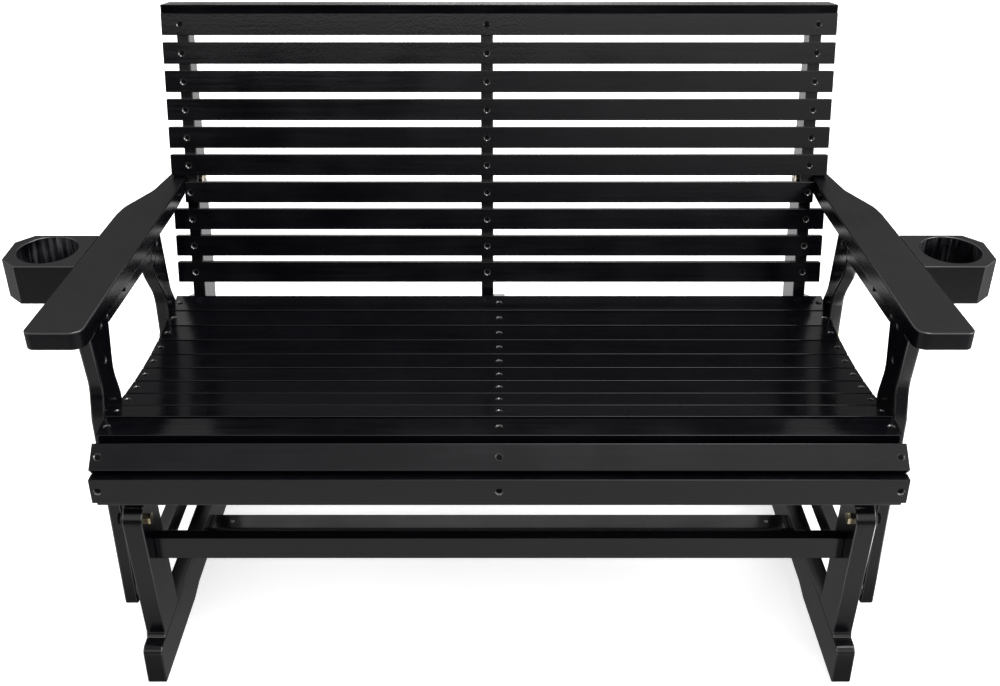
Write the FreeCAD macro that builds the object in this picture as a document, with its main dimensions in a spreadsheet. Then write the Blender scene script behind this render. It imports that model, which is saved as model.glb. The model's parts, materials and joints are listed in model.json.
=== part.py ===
import FreeCAD, Part
import math
import os
import re
import Sketcher
from FreeCAD import Placement, Rotation, Vector

# Two-seat glider bench with cup holders, in millimetres.
# +X is the sitter's left, +Y runs from the front to the back and +Z is up.
# Depths are first measured from the front edge of the front arm posts, and heights from just
# above the runners' soles. The finished bench is then centred over the origin and stood on it.

SIZES = {
    # Stock
    "board_thick": 21,
    "slat_thick": 16,
    "running_gap": 0.5,
    # Seat
    "slat_length": 1140,
    "seat_slat_count": 10,
    "seat_front": -50,
    "seat_back": 437,
    "seat_crest": 424,
    "seat_low": 394,
    "seat_low_place": 258,
    "seat_slat_gap": 3.7,
    "seat_screw_inset": 10.5,
    "seat_frame_bottom": 336,
    # Rolled front edge of the seat
    "nose_overhang": 7.1,
    "nose_depth": 30.3,
    "nose_drop": 25.8,
    "apron_width": 39.8,
    "apron_rise": 2.8,
    "lower_apron_tall": 39.6,
    "lower_apron_rise": 3.6,
    "front_rail_drop": 2.2,
    "front_rail_tall": 49,
    # Bearers and lower rails
    "bearer_back": 540,
    "bearer_back_step": 18,
    "bearer_tail": 24,
    "rail_bottom": 86,
    "rail_tall": 40,
    "rail_front": -3,
    "rail_back": 435,
    "rail_round": 18,
    # Front arm posts
    "post_bottom": 77.6,
    "post_width": 84,
    "post_shoulder": 418,
    "post_waist_rise": 48,
    "post_waist_inset": 14.5,
    "post_waist_round": 60,
    # Rear arm posts
    "rear_post_front": 370,
    "rear_post_width": 62,
    "rear_post_knee": 438,
    "rear_post_lean": 46,
    "rear_post_neck_drop": 46,
    "rear_post_neck": 35,
    "rear_post_top_front": 324,
    "rear_post_top_width": 62,
    "rear_post_rise": 62,
    "rear_post_round": 60,
    # Arms; reaches and insets are measured from the seat's ends
    "arm_thick": 27.4,
    "arm_front": -30,
    "arm_under": 549.8,
    "arm_slope": 2.7,
    "arm_outer_reach": 82.5,
    "arm_outer_back_reach": 57,
    "arm_outer_place": 354,
    "arm_shoulder_reach": 52,
    "arm_shoulder_place": 383,
    "arm_neck_reach": 20,
    "arm_neck_place": 452,
    "arm_tail_inset": 1,
    "arm_back": 560,
    "arm_inner_middle_inset": 6.5,
    "arm_inner_middle_place": 135,
    "arm_inner_back_place": 425,
    "arm_inner_round": 20,
    "arm_outer_round": 12,
    "arm_side_round": 60,
    # Cleat under the arm, between its two posts
    "cleat_front_bottom": 535.5,
    "cleat_back_bottom": 527.5,
    "cleat_notch_front": 140,
    "cleat_notch_back": 175,
    "cleat_notch_drop": 18,
    # Short screws in the posts' inner faces
    "short_screw_length": 18,
    "joint_screw_drop": 5,
    "joint_screw_front": 48,
    "joint_screw_back": 78,
    "post_screw_height": 495,
    "rear_screw_place": 361,
    "rear_screw_height": 540,
    # Cup holders
    "cup_front": 167.5,
    "cup_back": 275.5,
    "cup_reach": 187,
    "cup_clip": 25,
    "cup_below_arm": 37,
    "cup_radius": 45.5,
    "cup_wall": 14.5,
    "cup_behind_middle": 3,
    "cup_floor": 8,
    "cup_drain_radius": 6,
    # Back
    "recline": 13.53,
    "back_slat_count": 10,
    "back_slat_width": 36,
    "back_slat_pitch": 47.26,
    "back_line_place": 460,
    "back_line_height": 441,
    "stile_depth": 78,
    "stile_top_depth": 35,
    "cap_thick": 12,
    "cap_depth": 60,
    "cap_end_inset": 3,
    "cap_gap": 1.7,
    "cap_overhang": 8.3,
    "cap_tilt": 8,
    "cap_screw_place": 42,
    # Base
    "leg_inset": 55.7,
    "leg_thick": 29.4,
    "leg_width": 78.9,
    "leg_foot_place": -57.5,
    "leg_rake": 5.1,
    "leg_top": 310.6,
    "leg_round": 25,
    "leg_flare": 6,
    "leg_flare_round": 12,
    "foot_drop": 4,
    "runner_tall": 62.8,
    "runner_toe": -88,
    "runner_heel": 483,
    "runner_round": 12,
    "foot_pad": 198,
    "foot_ramp": 35,
    "foot_relief": 7,
    "stretcher_front": -41,
    "stretcher_thick": 21.7,
    "stretcher_bottom": 200,
    "stretcher_tall": 37,
    "middle_front": 242,
    "middle_width": 40,
    "middle_top": 43,
    "middle_thick": 21,
    "middle_screw_inset": 37.3,
    "leg_screw_place": 31.5,
    "leg_screw_height": 52,
    # Hangers
    "pivot_top_place": -55,
    "pivot_top_height": 285,
    "pivot_low_place": 17,
    "pivot_low_height": 106,
    "pivot_low_spacing": 400,
    "hanger_thick": 3,
    "hanger_half_width": 11,
    "hanger_eye": 14,
    "pin_radius": 5,
    "pin_fit": 0.06,
    "open_pin_fit": 1.6,
    "low_head_thick": 1.1,
    "low_head_radius": 9.5,
    "low_head_gap": 0.3,
    "low_bolt_cover": 2,
    "pivot_head_across": 16,
    "lock_nut_thick": 7.5,
    # Fasteners
    "screw_head_radius": 4,
    "screw_head_thick": 0.6,
    "screw_radius": 2,
    "screw_length": 32,
    "bolt_radius": 4,
    "bolt_head_thick": 4.5,
    "bolt_head_across": 13,
    "bolt_cover": 1,
    "bolt_rise": 17,
    "front_bolt_spread": 20,
    "rear_bolt_spread": 14,
    "rail_bolt_inset": 26,
    "stile_bolt_low": 13,
    "stile_bolt_high": 31,
    "arm_bolt_back": 12,
    "arm_bolt_front": 30,
    "washer_radius": 9,
    "washer_thick": 1.5,
}

CELL_COLUMN = "A"
X_AXIS = Vector(1, 0, 0)
SIDES = {"left": -1, "right": 1}

doc = FreeCAD.newDocument("glider_bench")
sheet = doc.addObject("Spreadsheet::Sheet", "sizes")
pieces = []


def fill_sheet():
    for row, (name, value) in enumerate(SIZES.items(), start=1):
        cell = CELL_COLUMN + str(row)
        sheet.set(cell, str(value))
        sheet.setAlias(cell, name)
    doc.recompute()


def bound(text):
    # Names of sizes become references to the sheet.
    return re.sub(r"[a-z_]{4,}", lambda word: refer(word.group()), str(text))


def refer(word):
    return "sizes." + word if word in SIZES else word


def number(text):
    value = sheet.evalExpression(bound(text))
    return float(getattr(value, "Value", value))


def minus(text):
    return "-(" + str(text) + ")"


def keep(piece, label, placement):
    piece.Label = label
    piece.Placement = placement
    pieces.append(piece)
    return piece


def at(along, depth, height, turn="0"):
    # A place given by three expressions, turned about the X axis by a fourth.
    base = Vector(number(along), number(depth), number(height))
    return Placement(base, Rotation(X_AXIS, number(turn)))


def origin_plane(body, role):
    return [item for item in body.Origin.OriginFeatures if item.Role == role][0]


def sketch_on(body, role, name, lift="0"):
    sketch = body.newObject("Sketcher::SketchObject", name)
    sketch.AttachmentSupport = (origin_plane(body, role), [""])
    sketch.MapMode = "FlatFace"
    sketch.AttachmentOffset = Placement(Vector(0, 0, number(lift)), Rotation())
    return sketch


def hold(sketch, kind, geometry, point, text, value):
    index = sketch.addConstraint(Sketcher.Constraint(kind, -1, 1, geometry, point, value))
    sketch.setExpression("Constraints[%d]" % index, bound(text))


def draw_outline(sketch, corners):
    # A closed outline whose corners are tied to the sheet.
    spots = [(number(x), number(y)) for x, y in corners]
    count = len(spots)
    for index, (x, y) in enumerate(spots):
        next_x, next_y = spots[(index + 1) % count]
        sketch.addGeometry(Part.LineSegment(Vector(x, y, 0), Vector(next_x, next_y, 0)))
    for index in range(count):
        sketch.addConstraint(Sketcher.Constraint("Coincident", index, 2, (index + 1) % count, 1))
    for index, (x, y) in enumerate(corners):
        hold(sketch, "DistanceX", index, 1, x, spots[index][0])
        hold(sketch, "DistanceY", index, 1, y, spots[index][1])
    return spots


def draw_circle(sketch, x, y, radius):
    centre = Vector(number(x), number(y), 0)
    index = sketch.addGeometry(Part.Circle(centre, Vector(0, 0, 1), number(radius)))
    hold(sketch, "DistanceX", index, 3, x, centre.x)
    hold(sketch, "DistanceY", index, 3, y, centre.y)
    limit = sketch.addConstraint(Sketcher.Constraint("Radius", index, number(radius)))
    sketch.setExpression("Constraints[%d]" % limit, bound(radius))


def edge_over(shape, role, spot):
    # The straight edge that stands on one corner of the outline.
    for index, edge in enumerate(shape.Edges, start=1):
        ends = [vertex.Point for vertex in edge.Vertexes]
        if role == "YZ_Plane":
            flat = [(end.y, end.z) for end in ends]
        else:
            flat = [(end.x, end.y) for end in ends]
        if len(flat) == 2 and all(math.dist(end, spot) < 0.001 for end in flat):
            return "Edge%d" % index
    raise ValueError("no edge over %s" % (spot,))


def round_corners(body, base, role, spots, rounds):
    # One fillet for each radius, on the corners that have it.
    for radius in dict.fromkeys(rounds.values()):
        names = []
        for index, wanted in rounds.items():
            if wanted == radius:
                names.append(edge_over(base.Shape, role, spots[index]))
        fillet = body.newObject("PartDesign::Fillet", "round")
        fillet.Base = (base, names)
        fillet.setExpression("Radius", bound(radius))
        doc.recompute()
        base = fillet
    return base


def outline_board(label, role, corners, thick, placement, rounds=None):
    # A board cut to an outline; rounds maps a corner's index to its radius.
    body = doc.addObject("PartDesign::Body", label)
    sketch = sketch_on(body, role, "outline")
    spots = draw_outline(sketch, corners)
    pad = body.newObject("PartDesign::Pad", "board")
    pad.Profile = sketch
    pad.setExpression("Length", bound(thick))
    doc.recompute()
    if rounds:
        round_corners(body, pad, role, spots, rounds)
    return keep(body, label, placement)


def plank(label, sides, placement):
    # A straight board with three sizes, standing on its own lowest corner.
    box = doc.addObject("Part::Box", label)
    for name, text in zip(("Length", "Width", "Height"), sides):
        box.setExpression(name, bound(text))
    return keep(box, label, placement)


def group(label, shapes):
    # Several equal fasteners under one name.
    piece = doc.addObject("Part::Feature", label)
    piece.Shape = Part.makeCompound(shapes)
    return keep(piece, label, Placement())


def side_start(side, inner, thick):
    # Where a board of the given thickness starts along X, on either side.
    return inner if side > 0 else minus("%s + %s" % (inner, thick))


# Seat surface

def from_seat_end(offset):
    # A place across the bench, outwards from the end of the seat.
    return "(slat_length / 2 + %s)" % offset


def stile_inner():
    # The outer stiles stand two boards in from the seat's ends.
    return from_seat_end("-2 * board_thick")


def leg_inner():
    return from_seat_end("-leg_inset")


def cup_outer():
    return from_seat_end("cup_reach")


def seat_break(index):
    # One end of the facet that carries a seat slat, on the bearers' top.
    pitch = "(seat_back - seat_front) / seat_slat_count"
    depth = "seat_front + %d * %s" % (index, pitch)
    if index == 0:
        return depth, "seat_crest - slat_thick"
    crest = "(seat_front + %s)" % pitch
    share = "((%s - seat_low_place) / (%s - seat_low_place))" % (depth, crest)
    height = "seat_low + (seat_crest - seat_low) * %s ^ 2 - slat_thick" % share
    return depth, height


def nose_top():
    return "seat_front - nose_overhang", "seat_crest - slat_thick"


def nose_low():
    return "seat_front - nose_overhang - nose_depth", "seat_crest - slat_thick - nose_drop"


def rail_face():
    # The back face of the front rail.
    return "seat_front - nose_overhang - nose_depth + board_thick"


def lower_apron_top():
    return nose_low()[1] + " + lower_apron_rise"


def front_rail_top():
    return nose_low()[1] + " - front_rail_drop"


def bearer_outline():
    top = [seat_break(index) for index in range(int(number("seat_slat_count")), -1, -1)]
    tail_height = top[0][1]
    return [
        (rail_face(), "seat_frame_bottom"),
        ("bearer_back", "seat_frame_bottom"),
        ("bearer_back", "seat_frame_bottom + bearer_tail"),
        ("seat_back + bearer_back_step", tail_height),
    ] + top + [
        nose_top(),
        nose_low(),
        (nose_low()[0], front_rail_top()),
        (rail_face(), front_rail_top()),
    ]


def facet(first, second):
    # Middle, length and tilt of the chord between two points of the seat's outline.
    y0, z0 = (number(text) for text in first)
    y1, z1 = (number(text) for text in second)
    middle = Vector(0, (y0 + y1) / 2, (z0 + z1) / 2)
    return middle, math.hypot(y1 - y0, z1 - z0), math.degrees(math.atan2(z1 - z0, y1 - y0))


def build_bearers():
    outline = bearer_outline()
    inner = "slat_length / 2 - board_thick"
    for name, side in SIDES.items():
        start = side_start(side, inner, "board_thick")
        outline_board("seat_bearer_" + name, "YZ_Plane", outline, "board_thick", at(start, 0, 0))
    outline_board("seat_bearer_centre", "YZ_Plane", outline, "board_thick", at("-board_thick / 2", 0, 0))


def seat_facets():
    count = int(number("seat_slat_count"))
    return [facet(seat_break(index), seat_break(index + 1)) for index in range(count)]


def build_seat_slats():
    for index, (middle, chord, tilt) in enumerate(seat_facets(), start=1):
        width = chord - number("seat_slat_gap")
        turned = Placement(middle, Rotation(X_AXIS, tilt))
        corner = Placement(Vector(-number("slat_length") / 2, -width / 2, 0), Rotation())
        plank("seat_slat_%02d" % index, ("slat_length", width, "slat_thick"), turned * corner)


def apron_seat():
    # The sloping facet under the upper apron, turned so that +Z leaves the seat.
    middle, chord, tilt = facet(nose_low(), nose_top())
    low = Vector(0, number(nose_low()[0]), number(nose_low()[1]))
    start = chord - number("apron_width") + number("apron_rise")
    return Placement(low, Rotation(X_AXIS, tilt)) * Placement(Vector(0, start, 0), Rotation())


def build_front_slats():
    corner = Placement(Vector(-number("slat_length") / 2, 0, 0), Rotation())
    plank("front_slat_upper", ("slat_length", "apron_width", "slat_thick"), apron_seat() * corner)
    place = at("-slat_length / 2", nose_low()[0] + " - slat_thick", lower_apron_top() + " - lower_apron_tall")
    plank("front_slat_lower", ("slat_length", "slat_thick", "lower_apron_tall"), place)
    place = at("-slat_length / 2", nose_low()[0], front_rail_top() + " - front_rail_tall")
    plank("front_rail", ("slat_length", "board_thick", "front_rail_tall"), place)


def build_lower_rails():
    outline = [
        ("rail_front", "rail_bottom"),
        ("rail_back", "rail_bottom"),
        ("rail_back", "rail_bottom + rail_tall"),
        ("rail_front", "rail_bottom + rail_tall"),
    ]
    rounds = {index: "rail_round" for index in range(len(outline))}
    for name, side in SIDES.items():
        start = side_start(side, "slat_length / 2 - board_thick", "board_thick")
        outline_board("lower_rail_" + name, "YZ_Plane", outline, "board_thick", at(start, 0, 0), rounds)


# Posts, arms and cup holders

def arm_underside(depth):
    return "arm_under + (%s - arm_front) * tan(arm_slope)" % depth


def arm_outer_edge(depth):
    share = "(%s - arm_front) / (arm_outer_place - arm_front)" % depth
    return from_seat_end("arm_outer_reach - (arm_outer_reach - arm_outer_back_reach) * %s" % share)


def build_front_posts():
    outline = [
        ("0", "post_bottom"),
        ("post_width", "post_bottom"),
        ("post_width", "post_shoulder"),
        ("post_width - post_waist_inset", "post_shoulder + post_waist_rise"),
        ("post_width", arm_underside("post_width")),
        ("0", arm_underside("0")),
        ("post_waist_inset", "post_shoulder + post_waist_rise"),
        ("0", "post_shoulder"),
    ]
    rounds = {3: "post_waist_round", 6: "post_waist_round"}
    for name, side in SIDES.items():
        start = side_start(side, "slat_length / 2", "board_thick")
        outline_board("arm_post_front_" + name, "YZ_Plane", outline, "board_thick", at(start, 0, 0), rounds)


def build_rear_posts():
    top_back = "(rear_post_top_front + rear_post_top_width)"
    back = "(rear_post_front + rear_post_width)"
    outline = [
        ("rear_post_front", "post_bottom"),
        (back, "post_bottom"),
        (back, "rear_post_knee - rear_post_neck_drop"),
        ("rear_post_front + rear_post_neck", "rear_post_knee"),
        (top_back, arm_underside(top_back)),
        ("rear_post_top_front", arm_underside("rear_post_top_front")),
        ("rear_post_front - rear_post_lean", "rear_post_knee + rear_post_rise"),
        ("rear_post_front", "rear_post_knee"),
    ]
    rounds = {corner: "rear_post_round" for corner in (2, 3, 6, 7)}
    for name, side in SIDES.items():
        start = side_start(side, "slat_length / 2", "board_thick")
        outline_board("arm_post_rear_" + name, "YZ_Plane", outline, "board_thick", at(start, 0, 0), rounds)


def build_cleats():
    outline = [
        ("post_width", "cleat_front_bottom"),
        ("rear_post_top_front", "cleat_back_bottom"),
        ("rear_post_top_front", arm_underside("rear_post_top_front")),
        ("cleat_notch_back", arm_underside("cleat_notch_back")),
        ("cleat_notch_back", arm_underside("cleat_notch_back") + " - cleat_notch_drop"),
        ("cleat_notch_front", arm_underside("cleat_notch_front")),
        ("post_width", arm_underside("post_width")),
    ]
    for name, side in SIDES.items():
        start = side_start(side, "slat_length / 2", "board_thick")
        outline_board("arm_cleat_" + name, "YZ_Plane", outline, "board_thick", at(start, 0, 0))


def arm_frame(lift="0"):
    # The arms' own slope, from the front edge of their underside.
    return at(0, "arm_front", "arm_under", "arm_slope") * Placement(Vector(0, 0, number(lift)), Rotation())


def along_arm(depth):
    return "(%s - arm_front) / cos(arm_slope)" % depth


def mirrored(side, corners):
    return [("%d * (%s)" % (side, x), y) for x, y in corners]


def build_arms():
    corners = [
        ("slat_length / 2", "0"),
        (from_seat_end("arm_outer_reach"), "0"),
        (from_seat_end("arm_outer_back_reach"), along_arm("arm_outer_place")),
        (from_seat_end("arm_shoulder_reach"), along_arm("arm_shoulder_place")),
        (from_seat_end("arm_neck_reach"), along_arm("arm_neck_place")),
        (from_seat_end("-arm_tail_inset"), along_arm("arm_back")),
        (from_seat_end("-board_thick"), along_arm("arm_back")),
        (from_seat_end("-board_thick"), along_arm("arm_inner_back_place")),
        (from_seat_end("-arm_inner_middle_inset"), along_arm("arm_inner_middle_place")),
    ]
    rounds = {0: "arm_inner_round", 1: "arm_outer_round", 3: "arm_side_round", 4: "arm_side_round"}
    for name, side in SIDES.items():
        outline = mirrored(side, corners)
        outline_board("armrest_" + name, "XY_Plane", outline, "arm_thick", arm_frame(), rounds)


def build_cup_holders():
    front = along_arm("cup_front")
    back = along_arm("cup_back")
    inner = from_seat_end("board_thick")
    outer = cup_outer()
    corners = [
        (inner, front),
        (outer + " - cup_clip", front),
        (outer, front + " + cup_clip"),
        (outer, back + " - cup_clip"),
        (outer + " - cup_clip", back),
        (inner, back),
    ]
    housing = [
        (inner, front),
        (arm_outer_edge("cup_front"), front),
        (arm_outer_edge("cup_back"), back),
        (inner, back),
    ]
    middle = along_arm("((cup_front + cup_back) / 2 + cup_behind_middle)")
    for name, side in SIDES.items():
        build_cup_holder(name, side, corners, housing, middle)


def pocket_from(body, sketch, depth, name):
    # A recess cut down from the sketch; it has to take material away.
    before = body.Shape.Volume
    pocket = body.newObject("PartDesign::Pocket", name)
    pocket.Profile = sketch
    pocket.setExpression("Length", bound(depth))
    doc.recompute()
    if body.Shape.Volume >= before:
        raise ValueError(name + " cuts nothing")


def build_cup_holder(name, side, corners, housing, middle):
    tall = "(cup_below_arm + arm_thick)"
    label = "cup_holder_" + name
    body = doc.addObject("PartDesign::Body", label)
    sketch = sketch_on(body, "XY_Plane", "outline")
    draw_outline(sketch, mirrored(side, corners))
    pad = body.newObject("PartDesign::Pad", "block")
    pad.Profile = sketch
    pad.setExpression("Length", bound(tall))
    doc.recompute()
    lap = sketch_on(body, "XY_Plane", "lap", tall)
    draw_outline(lap, mirrored(side, housing))
    pocket_from(body, lap, "arm_thick", "lap_under_arm")
    cup = sketch_on(body, "XY_Plane", "cup", tall)
    centre = "%d * (%s - cup_wall - cup_radius)" % (side, cup_outer())
    draw_circle(cup, centre, middle, "cup_radius")
    pocket_from(body, cup, tall + " - cup_floor", "cup_recess")
    drain = sketch_on(body, "XY_Plane", "drain", "cup_floor")
    draw_circle(drain, centre, middle, "cup_drain_radius")
    pocket_from(body, drain, "cup_floor", "drain_hole")
    keep(body, label, arm_frame("-cup_below_arm"))


# Back

def back_frame(up, behind, along="0"):
    # The reclined back: +Z climbs its slats and +Y goes behind them.
    frame = at(0, "back_line_place", "back_line_height", "-recline")
    return frame * Placement(Vector(number(along), number(behind), number(up)), Rotation())


def back_line(height, behind):
    # Depth of a line parallel to the slats' front faces, at one height.
    lean = "back_line_place + (%s - back_line_height) * tan(recline)" % height
    return "%s + (%s) / cos(recline)" % (lean, behind)


def cap_front():
    # Depth and height of the cap's lower front edge, just above the top slat.
    up = "((back_slat_count - 1) * back_slat_pitch + back_slat_width / 2 + cap_gap)"
    depth = "(back_line_place + %s * sin(recline) - cap_overhang * cos(recline))" % up
    height = "(back_line_height + %s * cos(recline) + cap_overhang * sin(recline))" % up
    return depth, height


def cap_underside(depth):
    front, height = cap_front()
    return "%s - (%s - %s) * tan(cap_tilt)" % (height, depth, front)


def stile_top(behind):
    # Where a line behind the slats meets the cap's underside.
    rise = "(%s - back_line_height)" % cap_underside("back_line_place")
    share = "(%s - (%s) / cos(recline) * tan(cap_tilt))" % (rise, behind)
    height = "back_line_height + %s / (1 + tan(recline) * tan(cap_tilt))" % share
    return back_line("(%s)" % height, behind), height


def build_stiles():
    deep = "slat_thick + stile_depth"
    outline = [
        (back_line("seat_frame_bottom", "slat_thick"), "seat_frame_bottom"),
        (back_line("seat_frame_bottom", deep), "seat_frame_bottom"),
        (back_line("seat_crest", deep), "seat_crest"),
        stile_top("slat_thick + stile_top_depth"),
        stile_top("slat_thick"),
    ]
    for name, side in SIDES.items():
        start = side_start(side, stile_inner(), "board_thick")
        outline_board("back_stile_" + name, "YZ_Plane", outline, "board_thick", at(start, 0, 0))
    start = "-board_thick / 2 - board_thick"
    outline_board("back_stile_centre", "YZ_Plane", outline, "board_thick", at(start, 0, 0))


def back_slat_rise(index):
    # Height of a slat's middle up the back; slat 1 is the top one.
    return "(back_slat_count - %d) * back_slat_pitch" % index


def back_slat_meeting_arms():
    # The slat whose middle is nearest to the arms' back ends, which it has to clear.
    level = number(arm_underside("back_line_place") + " + arm_thick / 2 - back_line_height")
    rise = level / math.cos(math.radians(number("recline")))
    count = int(number("back_slat_count"))
    return min(range(1, count + 1), key=lambda index: abs(number(back_slat_rise(index)) - rise))


def back_slat_length(index):
    if index == back_slat_meeting_arms():
        return "(slat_length - 2 * (board_thick + running_gap))"
    return "slat_length"


def build_back_slats():
    for index in range(1, int(number("back_slat_count")) + 1):
        length = back_slat_length(index)
        bottom = back_slat_rise(index) + " - back_slat_width / 2"
        place = back_frame(bottom, "0", minus(length) + " / 2")
        plank("back_slat_%02d" % index, (length, "slat_thick", "back_slat_width"), place)


def cap_frame():
    return at(0, *cap_front(), "-cap_tilt")


def build_cap():
    length = "(slat_length - 2 * cap_end_inset)"
    corner = Placement(Vector(-number(length) / 2, 0, 0), Rotation())
    plank("back_cap", (length, "cap_depth", "cap_thick"), cap_frame() * corner)


# Base

def base_mirror(depth):
    return "runner_toe + runner_heel - (%s)" % depth


def build_runners():
    heel_pad = base_mirror("runner_toe + foot_pad")
    sole = "-foot_drop"
    outline = [
        ("runner_toe", sole),
        ("runner_toe + foot_pad", sole),
        ("runner_toe + foot_pad + foot_ramp", sole + " + foot_relief"),
        (heel_pad + " - foot_ramp", sole + " + foot_relief"),
        (heel_pad, sole),
        ("runner_heel", sole),
        ("runner_heel", "runner_tall"),
        ("runner_toe", "runner_tall"),
    ]
    rounds = {6: "runner_round", 7: "runner_round"}
    for name, side in SIDES.items():
        start = side_start(side, leg_inner(), "leg_thick")
        outline_board("runner_" + name, "YZ_Plane", outline, "leg_thick", at(start, 0, 0), rounds)


def leg_front(height):
    return "leg_foot_place - (%s - runner_tall) * tan(leg_rake)" % height


def leg_outline():
    flare_top = "(runner_tall + leg_flare)"
    return [
        ("leg_foot_place - leg_flare", "runner_tall"),
        ("leg_foot_place + leg_width", "runner_tall"),
        (leg_front("leg_top") + " + leg_width", "leg_top"),
        (leg_front("leg_top"), "leg_top"),
        (leg_front(flare_top), flare_top),
    ]


def build_legs():
    front = leg_outline()
    back = [(base_mirror(depth), height) for depth, height in front]
    rounds = {2: "leg_round", 3: "leg_round", 4: "leg_flare_round"}
    for name, side in SIDES.items():
        place = at(side_start(side, leg_inner(), "leg_thick"), 0, 0)
        outline_board("front_leg_" + name, "YZ_Plane", front, "leg_thick", place, rounds)
        outline_board("rear_leg_" + name, "YZ_Plane", back, "leg_thick", place, rounds)


def build_stretchers():
    width = "2 * " + leg_inner()
    start = minus(leg_inner())
    upright = (width, "stretcher_thick", "stretcher_tall")
    plank("front_stretcher", upright, at(start, "stretcher_front", "stretcher_bottom"))
    back = base_mirror("stretcher_front + stretcher_thick")
    plank("rear_stretcher", upright, at(start, back, "stretcher_bottom"))
    flat = (width, "middle_width", "middle_thick")
    plank("middle_stretcher", flat, at(start, "middle_front", "middle_top - middle_thick"))


# Hangers and their pivots

def pivots():
    # Upper and lower pivot of each row, as depth and height.
    front = (("pivot_top_place", "pivot_top_height"), ("pivot_low_place", "pivot_low_height"))
    back_low = "pivot_low_place + pivot_low_spacing"
    back_top = base_mirror("pivot_top_place")
    back = ((back_top, "pivot_top_height"), (back_low, "pivot_low_height"))
    return {"front": front, "rear": back}


def hanger_inner():
    # The hanger hangs midway between the leg's outer face and the lower rail.
    room = "(slat_length / 2 - board_thick - running_gap)"
    return room + " - hanger_thick"


def build_hanger(row, name, side, low_fit):
    top, low = pivots()[row]
    span = Vector(0, number(low[0]) - number(top[0]), number(low[1]) - number(top[1]))
    tilt = math.degrees(math.atan2(span.y, -span.z))
    label = "hanger_%s_%s" % (row, name)
    bar = doc.addObject("Part::Box", "bar")
    bar.setExpression("Length", bound("hanger_thick"))
    bar.setExpression("Width", bound("2 * hanger_half_width"))
    bar.Height = span.Length
    bar.Placement = Placement(Vector(0, -number("hanger_half_width"), -span.Length), Rotation())
    solids = [bar]
    holes = []
    for drop, fit in ((0, "pin_fit"), (-span.Length, low_fit)):
        solids.append(disc("eye", "hanger_eye", drop))
        holes.append(disc("hole", "pin_radius + " + fit, drop))
    joined = doc.addObject("Part::MultiFuse", "plate")
    joined.Shapes = solids
    drilled = doc.addObject("Part::MultiFuse", "holes")
    drilled.Shapes = holes
    cut = doc.addObject("Part::Cut", label)
    cut.Base = joined
    cut.Tool = drilled
    start = side_start(side, hanger_inner(), "hanger_thick")
    base = Vector(number(start), number(top[0]), number(top[1]))
    keep(cut, label, Placement(base, Rotation(X_AXIS, tilt)))


def disc(name, radius, height):
    # A disc across the hanger's thickness, at one of its pivots.
    piece = doc.addObject("Part::Cylinder", name)
    piece.setExpression("Radius", bound(radius))
    piece.setExpression("Height", bound("hanger_thick"))
    piece.Placement = Placement(Vector(0, 0, height), Rotation(Vector(0, 1, 0), 90))
    return piece


def build_hangers():
    for name, side in SIDES.items():
        build_hanger("front", name, side, "pin_fit")
        build_hanger("rear", name, side, "open_pin_fit")


def hexagon(start, direction, across, thick):
    # A hexagonal head or nut that grows from a point along a direction.
    radius = across / math.sqrt(3)
    corners = [Vector(radius * math.cos(turn * math.pi / 3), radius * math.sin(turn * math.pi / 3), 0)
               for turn in range(7)]
    prism = Part.Face(Part.makePolygon(corners)).extrude(Vector(0, 0, thick))
    prism.Placement = Placement(start, Rotation(Vector(0, 0, 1), direction))
    return prism


def side_point(side, along, depth, height):
    return Vector(side * number(along), number(depth), number(height))


def upper_pivot_bolt(side, depth, height):
    # Nut on the leg's inner face, shank through leg and hanger, washer and head outside.
    nut = number("lock_nut_thick")
    across = number("pivot_head_across")
    inner = number(leg_inner())
    outer = number(hanger_inner() + " + hanger_thick + running_gap")
    out = Vector(side, 0, 0)
    start = side_point(side, leg_inner(), depth, height)
    end = start + out * (outer - inner)
    thick = number("washer_thick")
    shank = Part.makeCylinder(number("pin_radius"), outer - inner + nut, start - out * nut, out)
    washer = Part.makeCylinder(number("washer_radius"), thick, end, out)
    head = hexagon(end + out * thick, out, across, number("bolt_head_thick"))
    lock = hexagon(start, -out, across, nut)
    return shank.fuse([washer, head, lock]).removeSplitter()


def lower_pivot_bolt(side, depth, height):
    # A thin head inside the hanger and a shank into the lower rail.
    outer = number("slat_length / 2 - low_bolt_cover")
    inner = number(hanger_inner() + " - low_head_gap")
    out = Vector(side, 0, 0)
    start = side_point(side, inner, depth, height)
    head = Part.makeCylinder(number("low_head_radius"), number("low_head_thick"), start, -out)
    shank = Part.makeCylinder(number("pin_radius"), outer - inner, start, out)
    return shank.fuse(head).removeSplitter()


def build_pivot_bolts():
    upper = []
    lower = []
    for side in SIDES.values():
        for top, low in pivots().values():
            upper.append(upper_pivot_bolt(side, *top))
            lower.append(lower_pivot_bolt(side, *low))
    group("upper_pivot_bolts", upper)
    group("lower_pivot_bolts", lower)


# Screws and bolts

def screw(point, outward, length="screw_length"):
    # A low round head on the surface and a shank into the wood behind it.
    head = Part.makeCylinder(number("screw_head_radius"), number("screw_head_thick"), point, outward)
    shank = Part.makeCylinder(number("screw_radius"), number(length), point, -outward)
    return head.fuse(shank).removeSplitter()


def row_of_screws(frame, places, depth, height, outward):
    # Screws across one slat, in the slat's own turned frame.
    turned = frame.Rotation.multVec(outward)
    return [screw(frame.multVec(Vector(place, depth, height)), turned) for place in places]


def post_screw_places():
    # On the inner faces of the front and rear arm posts, as depth and height.
    return [
        ("joint_screw_front", arm_underside("joint_screw_front") + " - joint_screw_drop"),
        ("joint_screw_back", arm_underside("joint_screw_back") + " - joint_screw_drop"),
        ("post_width / 2", "post_screw_height"),
        ("rear_screw_place", "rear_screw_height"),
    ]


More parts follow.
